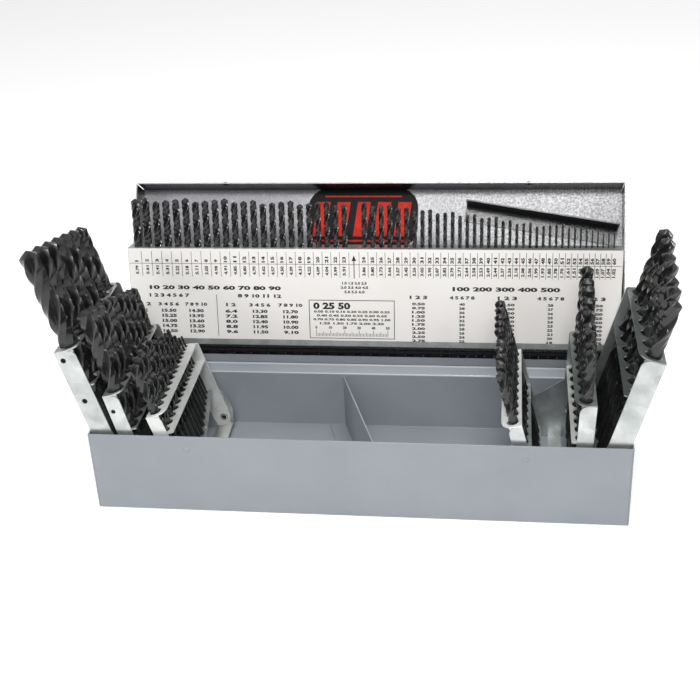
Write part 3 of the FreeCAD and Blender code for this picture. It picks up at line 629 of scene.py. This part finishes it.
# Pivot rivets: plated steel rivets with domed heads, clinched inside each end plate.
# They are fixed in the four stepped brackets, and near-black discs in their hollow ends are
# painted shade.
plated = zinc("plated_rivets", (0.45, 0.45, 0.44), (0.72, 0.71, 0.69), 0.24)
head = [(0, -2.0), (1.4, -1.95), (2.4, -1.75), (3.1, -1.4), (3.1, -1.2)]
clinch = [(2.9, 1.0), (2.9, 1.15), (2.3, 1.5), (1.6, 1.5), (1.45, 1.2), (1.45, -1.0), (0, -1.0)]
for bank, way_x in (("left", -1), ("right", 1)):
    shapes, rivet_shade_discs = [], []
    for name, rack in racks.items():
        if rack["side"] != way_x:
            continue
        for y, way in ((rack_front, 1), (rack_back, -1)):
            place = (way_x * rack["x"], y, rack["z"]), (0, way, 0), (1, 0, 0), 20
            shapes.append(turned([*head, (1.88, -1.2), (1.88, 1.0), *clinch], *place))
            # A near-black disc in each hollow end: painted shade
            rivet_shade_discs.append(turned([(1.45, 1.0), (0, 1.0)], *place))
    make_piece(f"{bank}_pivot_rivet_hollow_shade", *gathered(rivet_shade_discs), dark_recess, "rivet_steel",
               "base")
    rivets = make_piece(f"{bank}_pivot_rivet_heads", *gathered(shapes), plated, "rivet_steel",
                        "base", sharp=40)
    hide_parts(f"pivot_rivets_{bank}")


# Twist drills: high speed steel with a black oxide skin, two ground flutes and a 118 degree
# point. The margins along the lands are ground last, so they shine through the black.
def twist_drills(places, rings_per_turn, flute_steps):
    """For each drill a stack of cross sections turned along the helix. The radius is full on
    the lands, dips as a power of a sine in the flutes, and is held under the point's cone."""
    land, margin = math.radians(106), math.radians(8)
    lead_ratio, cone_ratio, shank_share, cone_slope = 5.6, 0.3, 0.3, 0.6
    shank_shine, point_shine = 0.25, 0.45
    first = np.array([0.0, margin, margin + 0.03, land * 0.5, land])
    flute = np.linspace(land, math.pi, flute_steps + 1)[1:-1]
    angle = np.concatenate([first, flute])
    dip = np.sin((flute - land) / (math.pi - land) * math.pi) ** 0.85
    depth = np.concatenate([[0, 0, 0.04, 0.04, 0.04], dip])
    shine = np.concatenate([[1, 1, 0.1, 0.08, 0.15], np.zeros(len(flute))])
    angle = np.concatenate([angle, angle + math.pi])
    depth, shine = np.tile(depth, 2), np.tile(shine, 2)
    shapes, shines = [], []
    for origin, ex, ey, ez, diameter, length in places:
        radius, lead, cone = diameter / 2, diameter * lead_ratio, diameter * cone_ratio
        start = length * shank_share
        turns = (length - cone - start) / lead
        rise = np.linspace(start, length - cone, max(8, int(turns * rings_per_turn)))
        tip = length - cone + cone * np.array([0.25, 0.5, 0.75, 0.93])
        z = np.concatenate([[0.0, start * 0.9], rise, tip])
        ramp = np.clip((z - start) / (1.6 * diameter), 0, 1) ** 0.6
        web = 0.36 - 0.1 * (z - start).clip(0) / length
        r = radius * (1 - depth[None, :] * ((1 - web) * ramp)[:, None])
        r = np.minimum(r, ((length - z) / cone_slope).clip(0)[:, None] + radius * 0.02)
        turn = angle[None, :] + (2 * np.pi * (z - start).clip(0) / lead)[:, None]
        verts = (np.array(origin) + z[:, None, None] * np.array(ez)
                 + (r * np.cos(turn))[..., None] * np.array(ex)
                 + (r * np.sin(turn))[..., None] * np.array(ey))
        cols = len(angle)
        verts = np.concatenate([verts.reshape(-1, 3), [np.array(origin) + length * np.array(ez)]])
        quads = grid_faces(len(z), cols).tolist()
        last = (len(z) - 1) * cols
        i = np.arange(cols)
        quads += np.c_[i + last, (i + 1) % cols + last, np.full(cols, len(z) * cols)].tolist()
        quads.append(list(range(cols))[::-1])
        shapes.append((verts, quads))
        here = shine[None, :] * (0.3 + 0.7 * ramp[:, None])
        here[:2] = shank_shine
        here[-5:] = point_shine
        shines.append(np.append(here.ravel(), point_shine))
    verts, faces = gathered(shapes)
    return verts, faces, np.concatenate(shines)


def black_oxide(name):
    stuff, tree, shader = finish_with(name, 0.3, 0.0)
    ground = tree.nodes.new("ShaderNodeAttribute")
    ground.attribute_name = "ground"
    place = object_place(tree)
    blotch = noise(tree, 160, 4, place)
    skin = blend_colour(tree, spread_to(tree, blotch, 0.35, 0.7, 0, 1),
                        (0.009, 0.0095, 0.009, 1), (0.019, 0.02, 0.019, 1))
    tree.links.new(blend_colour(tree, spread_to(tree, ground.outputs["Fac"], 0, 1, 0, 0.4), skin,
                                (0.12, 0.12, 0.125, 1)), shader.inputs["Base Color"])
    tree.links.new(spread_to(tree, blotch, 0.3, 0.7, 0.17, 0.27), shader.inputs["Roughness"])
    shader.inputs["Specular IOR Level"].default_value = 0.36
    shader.inputs["Coat Weight"].default_value = 0.4
    shader.inputs["Coat Roughness"].default_value = 0.12
    bumped(tree, shader, noise(tree, 1800, 2, place), 0.0001, 0.2)
    return stuff


drill_steel = black_oxide("black_oxide_steel")


def put_drills(name, places, rings, steps, body, node):
    verts, faces, ground = twist_drills(places, rings, steps)
    piece = make_piece(name, verts, faces, drill_steel, "bit_steel", body, sharp=38)
    piece.data.attributes.new("ground", "FLOAT", "POINT").data.foreach_set("value", ground)
    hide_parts(node)


for name, rack in racks.items():
    a = math.radians(rack["lean"]) * rack["side"]
    ex, ez = (math.cos(a), 0, -math.sin(a)), (math.sin(a), 0, math.cos(a))
    places = []
    for k, (x, y, up, d, length) in enumerate(rack_rows[name]):
        origin = leaned(np.array([(x, y, up)]), rack)[0]
        spin = 0.35 * k + 0.4 * math.sin(2.6 * k)
        ax = np.array(ex) * math.cos(spin) + np.array((0, 1, 0)) * math.sin(spin)
        places.append((origin, ax, np.cross(ez, ax), ez, d, length))
    put_drills(f"{name}_twist_drills", places, 44, 12, "rack_" + name, f"{name}_bits")


# Lid: a shallow pan of the same sheet, black baked enamel, its front corners slit and open.
# Its inner face carries a stop rail and a generic striped decal, and its colour is a painted
# reflection, a mottled grey.
hinge = np.array([0, 58.6828, 57.15])
lid_rise, open_angle = 8.0, 125
reach_way, depth_way = np.array([0, 0.573576, 0.819152]), np.array([0, -0.819152, 0.573576])


def lid_enamel(name):
    """Black outside. Faces that look out of the pan get a painted reflection of the lamps in
    their colour, mottled silver grey, brighter to the right and darker near the bottom, where it
    stands for the panel's back mirrored in them."""
    stuff = enamel(name, (0.008, 0.009, 0.011), (0.016, 0.018, 0.021), 0.24, 0.9, 420)
    tree = stuff.node_tree
    shader = tree.nodes["Principled BSDF"]
    place = tree.nodes.new("ShaderNodeTexCoord")
    facing = tree.nodes.new("ShaderNodeVectorMath")
    facing.operation = "DOT_PRODUCT"
    facing.inputs[1].default_value = depth_way
    tree.links.new(place.outputs["Normal"], facing.inputs[0])
    inside = spread_to(tree, facing.outputs["Value"], 0.9, 0.95, 0, 1)
    across = tree.nodes.new("ShaderNodeSeparateXYZ")
    tree.links.new(place.outputs["Object"], across.inputs[0])
    speck = spread_to(tree, noise(tree, 750, 3, place.outputs["Object"]), 0.38, 0.62, 0, 1)
    # Painted reflection: dim grey on the left, a bright glare on the right, speckled by the peel
    painted_dim_glare = blend_colour(tree, speck, (0.4, 0.4, 0.43, 1), (0.52, 0.52, 0.56, 1))
    painted_glare = blend_colour(tree, speck, (0.36, 0.36, 0.37, 1), (0.9, 0.9, 0.92, 1))
    painted_reflection = blend_colour(tree, spread_to(tree, across.outputs["X"], -0.02, 0.15, 0, 1), painted_dim_glare,
                          painted_glare)
    # Painted shade: the painted reflection is halved towards the bottom of the panel
    painted_low_shade = blend_colour(tree, spread_to(tree, across.outputs["Z"], 0.115, 0.15, 0, 1),
                          (0.5, 0.5, 0.52, 1), (1, 1, 1, 1))
    painted_reflection = blend_colour(tree, 1.0, painted_reflection, painted_low_shade, "MULTIPLY")
    black = shader.inputs["Base Color"].links[0].from_socket
    tree.links.new(blend_colour(tree, inside, black, painted_reflection), shader.inputs["Base Color"])
    return stuff


black_enamel = enamel("black_enamel", (0.006, 0.007, 0.009), (0.014, 0.016, 0.019), 0.22, 0.5,
                      700)
dress("lid_shell", lid_enamel("lid_enamel"))
dress("stop_rail", black_enamel)
dress("gauge_rivets", plated)


def in_lid(points):
    """Points of the lid: x, reach along it from the hinge, depth in from its outer face."""
    x, reach, depth = np.asarray(points, float).T
    return (hinge + x[:, None] * np.array([1, 0, 0]) + reach[:, None] * reach_way
            + (depth[:, None] - lid_rise) * depth_way)


def rounded_box(x, y, radius):
    corners = [(x[0], y[0], (0, 1), (1, 0)), (x[1], y[0], (-1, 0), (0, 1)),
               (x[1], y[1], (0, -1), (-1, 0)), (x[0], y[1], (1, 0), (0, -1))]
    return np.concatenate([round_corner((cx, cy), a, b, radius) for cx, cy, a, b in corners])


def decal_ink(name, colour):
    stuff, tree, shader = finish_with(name, 0.5)
    shader.inputs["Specular IOR Level"].default_value = 0.12
    mottled(tree, shader, noise(tree, 300, 4, object_place(tree)), 0.3, 0.72, colour,
            [0.7 * v for v in colour])
    return stuff


def flat_print(shapes, depth, place_in):
    """Joins flat outlines or flat meshes (points, faces) at one depth on a panel or lid."""
    points, faces = gathered(shapes)
    return place_in(np.c_[points[:, :2], np.full(len(points), depth)]), faces


def as_face(outline):
    return np.asarray(outline, float), [list(range(len(outline)))]


def as_lid_face(outline):
    """The same face wound the other way, since the lid's inner side looks back at the front."""
    points, faces = as_face(outline)
    return points, [faces[0][::-1]]


patch = [as_lid_face(rounded_box((-49, 30), (76, 119), 14))]
bars, first_bar, bar_pitch, bar_width, slant = [], -45.5, 14.6, 9.4, 3.0
for k in range(5):
    left = first_bar + bar_pitch * k
    bars.append(as_lid_face([(left, 84), (left + bar_width, 84),
                             (left + bar_width + slant, 109), (left + slant, 109)]))
bars += [as_lid_face(oblong((-44, 25), (80, 81.4))),
         as_lid_face(oblong((-37, 18), (112.5, 113.6)))]
for what, shapes, lift, ink, colour in (("ground", patch, 0.03, "black", (0.012, 0.012, 0.014)),
                                        ("bars", bars, 0.05, "red", (0.75, 0.035, 0.018))):
    verts, faces = flat_print(shapes, sheet + lift, in_lid)
    make_piece(f"decal_{what}", verts, faces, decal_ink(f"decal_{ink}", colour), "lid_paint",
               "lid", smooth=False)


# Piano hinge: rolled steel leaves whose fine knuckles turn in twos on one long pin.
# The leaves are painted with the tray and the lid, and the knuckles are near black. On the base,
# the leaf's tabs and a thin strip along its top are near black too, painted shade under the lid.
knuckles, knuckle_radius, knuckle_gap, eased, leaf = 54, 2.0, 0.08, 0.2, 0.8
pitch = 2 * hinge_half / knuckles
leaf_y, leaf_bottom = half_depth - sheet - leaf, base_height - wall_drop - 6.0
for owner, stuff, first in (("base", grey_enamel, 0), ("lid", black_enamel, 1)):
    shapes, rolls = [], []
    for k in range(first, knuckles, 2):
        x0 = -hinge_half + k * pitch + knuckle_gap / 2
        x1 = x0 + pitch - knuckle_gap
        tube = [(1.1, 0), (knuckle_radius - eased, 0), (knuckle_radius, eased),
                (knuckle_radius, x1 - x0 - eased), (knuckle_radius - eased, x1 - x0),
                (1.1, x1 - x0)]
        rolls.append(turned(tube, (x0, *hinge[1:]), (1, 0, 0), (0, 1, 0), 16))
        if owner == "base":
            # The base leaf's tabs go near black with the knuckles: painted shade
            rolls.append(block((x0, x1), (leaf_y, leaf_y + leaf),
                               (base_height - wall_drop, base_height)))
        else:
            shapes.append(block((x0, x1), (leaf_y, leaf_y + leaf),
                                (base_height, base_height + wall_drop)))
    if owner == "base":
        shapes.append(block((-hinge_half, hinge_half), (leaf_y, leaf_y + leaf),
                            (leaf_bottom, base_height - wall_drop)))
        # Painted shade: a thin near-black strip along the base leaf's top, where it meets the
        # knuckles
        rolls.append(block((-hinge_half, hinge_half), (leaf_y - 0.15, half_depth),
                           (base_height - wall_drop, base_height - wall_drop + 0.28)))
    else:
        shapes.append(block((-hinge_half, hinge_half), (leaf_y, leaf_y + leaf),
                            (base_height + wall_drop, base_height + lid_rise - sheet)))
    a = math.radians(-open_angle if owner == "lid" else 0)
    for part, group, paint in (("leaf_strip", shapes, stuff), ("knuckles", rolls, dark_recess)):
        verts, faces = gathered(group)
        y, z = verts[:, 1] - hinge[1], verts[:, 2] - hinge[2]
        verts = np.stack([verts[:, 0], hinge[1] + y * math.cos(a) - z * math.sin(a),
                          hinge[2] + y * math.sin(a) + z * math.cos(a)], -1)
        piece = make_piece(f"hinge_{owner}_{part}", verts, faces, paint, "hinge_steel", owner,
                           sharp=40)
        if part == "leaf_strip":
            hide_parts(f"hinge_{owner}_leaf")
dress("hinge_pin", zinc("hinge_steel", (0.2, 0.2, 0.2), (0.35, 0.35, 0.34), 0.34))


# Gauge panel: a zinc coated front plate with a pierced top flange, in which the wire size
# drills stand in one row. A plate under the flange and a sloped strip hold them.
panel_lean = math.radians(10)
panel_pivot = np.array([0, 65.2781, 60.467])
ear_depth, ear_drop = 10.4, 1.1
half_panel, panel_height, mid_height, row_depth = 169.4, 69.8, 50.0, 6.5
wire_sizes = (0.228, 0.221, 0.213, 0.209, 0.2055, 0.204, 0.201, 0.199, 0.196, 0.1935, 0.191,
              0.189, 0.185, 0.182, 0.180, 0.177, 0.173, 0.1695, 0.166, 0.161, 0.159, 0.157,
              0.154, 0.152, 0.1495, 0.147, 0.144, 0.1405, 0.136, 0.1285, 0.120, 0.116, 0.113,
              0.111, 0.110, 0.1065, 0.104, 0.1015, 0.0995, 0.098, 0.096, 0.0935, 0.089, 0.086,
              0.082, 0.081, 0.0785, 0.076, 0.073, 0.070, 0.067, 0.0635, 0.0595, 0.055, 0.052,
              0.0465, 0.043, 0.042, 0.041, 0.040)
wire_runs = ((2, 3.875), (4, 3.75), (4, 3.625), (3, 3.5), (4, 3.375), (4, 3.25), (3, 3.125),
             (3, 3.0), (2, 2.875), (3, 2.75), (3, 2.625), (3, 2.5), (3, 2.375), (2, 2.25),
             (3, 2.125), (5, 2.0), (4, 1.875), (2, 1.75), (3, 1.625))
wires = np.array([(unit * a, unit * b) for a, b in zip(wire_sizes, spelled_out(wire_runs))])
flange_depth, wire_slack, row_inset = 12.5, 0.35, 5.9
row_end = half_panel - row_inset

# The webs widen along the row, and most about the empty hole, which follows the 23rd drill
hole_after, centre_hole = 22, 5.2
growth = 1 + 0.45 * np.arange(59) / 60
growth[hole_after] *= 2.2
wire_web = (2 * row_end - wires[:, 0].sum() + wires[[0, -1], 0].sum() / 2
            - centre_hole) / growth.sum()
steps_x = growth * wire_web + (wires[:-1, 0] + wires[1:, 0]) / 2
steps_x[hole_after] += centre_hole
wire_x = -row_end + np.concatenate([[0], np.cumsum(steps_x)])
centre_x = (wire_x[hole_after] + wires[hole_after, 0] / 2
            + (growth[hole_after] * wire_web + centre_hole) / 2)


def in_panel(points):
    """Points (x, depth behind the face, height up the face) of the upright panel, leaned
    back about its pivot ears and put in place."""
    x, depth, up = np.asarray(points, float).T
    depth, up = depth - ear_depth, up + ear_drop
    c, s = math.cos(panel_lean), math.sin(panel_lean)
    return np.stack([x, panel_pivot[1] + depth * c + up * s,
                     panel_pivot[2] - depth * s + up * c], -1)


def pierced_flange(half, up):
    holes = [(row_depth, x, d / 2 + wire_slack) for x, d in zip(wire_x, wires[:, 0])]
    holes.append((row_depth, centre_x, centre_hole / 2))
    outline = oblong((sheet, flange_depth), (-half, half))
    verts, faces = pierced_sheet(outline, holes, up - sheet, up, 18)
    return verts[:, [1, 0, 2]], [face[::-1] for face in faces]


face = block((-half_panel, half_panel), (0, sheet), (0, panel_height))
verts, faces = gathered([face, pierced_flange(half_panel, panel_height),
                         pierced_flange(half_panel - sheet, mid_height)])
panel = make_piece("gauge_panel_pierced", in_panel(verts), faces, bright_zinc, "galvanised",
                   "panel", sharp=35)
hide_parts("gauge_panel", "gauge_mid_plate")

rest_low, rest_high = 4.5, 38.7
rest_slope = (rest_high - rest_low) / (2 * row_end)
ez = np.array([0, math.sin(panel_lean), math.cos(panel_lean)])
ex, ey = np.array([1, 0, 0]), np.array([0, math.cos(panel_lean), -math.sin(panel_lean)])
places = []
for k, (x, (d, length)) in enumerate(zip(wire_x, wires)):
    up = rest_low + (x + row_end) * rest_slope + d / 2 * rest_slope + 0.05
    spin = 2.3 * k
    ax = ex * math.cos(spin) + ey * math.sin(spin)
    places.append((in_panel([(x, row_depth, up)])[0], ax, np.cross(ez, ax), ez, d, length))
put_drills("gauge_twist_drills", places, 18, 8, "panel", "gauge_bits")


# Card: white varnished paper, glued on the panel and printed in black.
# It has a number and a size in millimetres for each hole, with plain number tables below.
card, tree, shader = finish_with("card_paper", 0.4)
mottled(tree, shader, noise(tree, 14, 4, object_place(tree)), 0.35, 0.7, (0.93, 0.895, 0.86),
        (0.97, 0.95, 0.93))
dress("label_card", card)
glyphs = {}


def printed(words, height, width=None, bold=0.045):
    """Flat mesh of a row of digits with its middle at the origin, scaled to a cap height and,
    where one is given, a width."""
    if (words, bold) not in glyphs:
        curve = bpy.data.curves.new("digits", "FONT")
        curve.body, curve.resolution_u, curve.offset = words, 2, bold
        thing = bpy.data.objects.new("digits", curve)
        mesh = bpy.data.meshes.new_from_object(thing)
        points = np.empty(len(mesh.vertices) * 3)
        mesh.vertices.foreach_get("co", points)
        points = points.reshape(-1, 3)[:, :2]
        low, high = points.min(0), points.max(0)
        glyphs[words, bold] = ((points - (low + high) / 2) / (high[1] - low[1]),
                               (high[0] - low[0]) / (high[1] - low[1]),
                               [list(face.vertices) for face in mesh.polygons])
        bpy.data.objects.remove(thing)
        bpy.data.meshes.remove(mesh)
        bpy.data.curves.remove(curve)
    points, span, faces = glyphs[words, bold]
    stretch = width / (span * height) if width else 1.0
    return points * height * np.array([stretch, 1]), faces


def digits_at(x, s, *words):
    points, faces = printed(*words)
    return points + np.array([x, s]), faces


def reading_up(x, s, *words):
    """Turns a row of digits to read upwards, starting at height s."""
    points, faces = printed(*words)
    points = np.stack([-points[:, 1], points[:, 0] - points[:, 0].min()], -1)
    return points + np.array([x, s]), faces


def rule(x, s):
    return as_face(oblong(x, s))


row_line, thin, row_rules = 58.7, 0.3, (49.6, 67.6)
ink = [rule((-168.6, 168.6), (row_line, row_line + thin))]
edges = [-168.0, *((wire_x[1:] + wire_x[:-1]) / 2), 168.0]
for k, x in enumerate(wire_x):
    ink.append(reading_up(x, 59.9, str(k + 1), 2.4, 4.4 if k > 8 else 2.1 if k else 1.0))
    ink.append(reading_up(x, 51.0, f"{wires[k, 0]:.2f}", 2.3, 6.3))
    if k and k != hole_after + 1:
        ink.append(rule((edges[k] - thin / 2, edges[k] + thin / 2), row_rules))
for x in (wire_x[hole_after] + 3.4, wire_x[hole_after + 1] - 3.2):
    ink.append(rule((x - thin / 2, x + thin / 2), row_rules))
ink += [rule((centre_x - 0.3, centre_x + 0.3), (49.0, 62.0)),
        as_face([(centre_x - 1.6, 61.4), (centre_x + 1.6, 61.4), (centre_x, 65.4)])]
for words, width, s in (("1.0 1.5 2.0 2.5", 17, 45.7), ("3.0 3.5 4.0 4.5", 19, 42.6),
                        ("5.0 5.5 6.0", 14, 39.5)):
    ink.append(digits_at(centre_x, s, words, 2.0, width))


def number_table(columns, top, pitch, count):
    """Columns (x, head, head width, first number, step, decimals, width of its numbers)."""
    shapes = []
    for x, head, head_width, start, step, places, width in columns:
        shapes.append(digits_at(x, top + 4.7, head, 2.5, head_width, 0.05))
        for r in range(count):
            shapes.append(digits_at(x, top - pitch * r, f"{start + step * r:.{places}f}",
                                    pitch * 0.64, width, 0.05))
    return shapes


ink += number_table([(-159, "1 2", 7, 2, 1, 0, None),
                     (-142.5, "3 4 5 6", 15, 15.5, -0.25, 2, 10.5),
                     (-122.7, "7 8 9 10", 16, 14.3, -0.35, 2, 10.5),
                     (-97.6, "1 2", 7, 6.4, 0.8, 1, 8.5),
                     (-77.0, "3 4 5 6", 15, 13.3, -0.45, 2, 10.5),
                     (-55.4, "7 8 9 10", 17, 12.7, -0.9, 2, 10.5)], 24.7, 3.78, 5)
ink += number_table([(33.8, "1 2 3", 12, 0.5, 0.25, 2, 9),
                     (63.5, "4 5 6 7 8", 17, 40, -2, 0, 3.8),
                     (94.0, "1 2 3", 13, 12.5, 1.5, 2, 10),
                     (122.9, "4 5 6 7 8", 18, 28, -1, 0, 3.8),
                     (152.6, "1 2 3", 13, 10.5, 1.25, 2, 10)], 31.4, 2.95, 10)
ink.append(rule((-107.8, -107.4), (6.4, 36.6)))
for words, height, width, x, s in (("10 20 30 40 50 60 70 80 90", 3.1, 94, -108.5, 41.6),
                                   ("1 2 3 4 5 6 7", 2.7, 29, -141.5, 35.9),
                                   ("8 9 10 11 12", 2.7, 31, -77.0, 35.9),
                                   ("100 200 300 400 500", 3.1, 72, 93.0, 42.2)):
    ink.append(digits_at(x, s, words, height, width, 0.05))
box_x, box_s = (-42.3, 17.4), (5.6, 33.6)
ink += [rule(box_x, (box_s[0], box_s[0] + 0.5)), rule(box_x, (box_s[1] - 0.5, box_s[1])),
        rule((box_x[0], box_x[0] + 0.5), box_s), rule((box_x[1] - 0.5, box_x[1]), box_s),
        digits_at(box_x[0] + 16.0, box_s[1] - 4.3, "0 25 50", 5.0, 26, 0.05)]
for k in range(51):
    x = box_x[0] + 4.8 + k
    long = 4.6 if k % 10 == 0 else 3.4 if k % 5 == 0 else 2.3
    ink.append(rule((x - 0.16, x + 0.16), (box_s[0] + 1.6, box_s[0] + 1.6 + long)))
    if k % 10 == 0:
        ink.append(digits_at(x, box_s[0] + 8.0, str(k), 2.1))
for k, digits in enumerate(("0.05 0.10 0.15 0.20 0.25 0.30 0.35", "0.40 0.45 0.50 0.55 0.60 0.65",
                            "0.70 0.75 0.80 0.85 0.90 0.95 1.00", "1.25 1.50 1.75 2.00 2.25")):
    ink.append(digits_at(sum(box_x) / 2, box_s[0] + 19.6 - 2.85 * k, digits, 1.7,
                         (53, 49, 54, 45)[k]))
ink_stuff, tree, shader = finish_with("card_ink", 0.45)
mottled(tree, shader, noise(tree, 900, 3, object_place(tree)), 0.4, 0.75, (0.01, 0.009, 0.009),
        (0.03, 0.028, 0.026))


def on_card(points):
    return in_panel(np.c_[points[:, 0], points[:, 2], points[:, 1]])


verts, faces = flat_print(ink, -0.28, on_card)
make_piece("card_print", verts, faces, ink_stuff, "card", "panel", smooth=False)
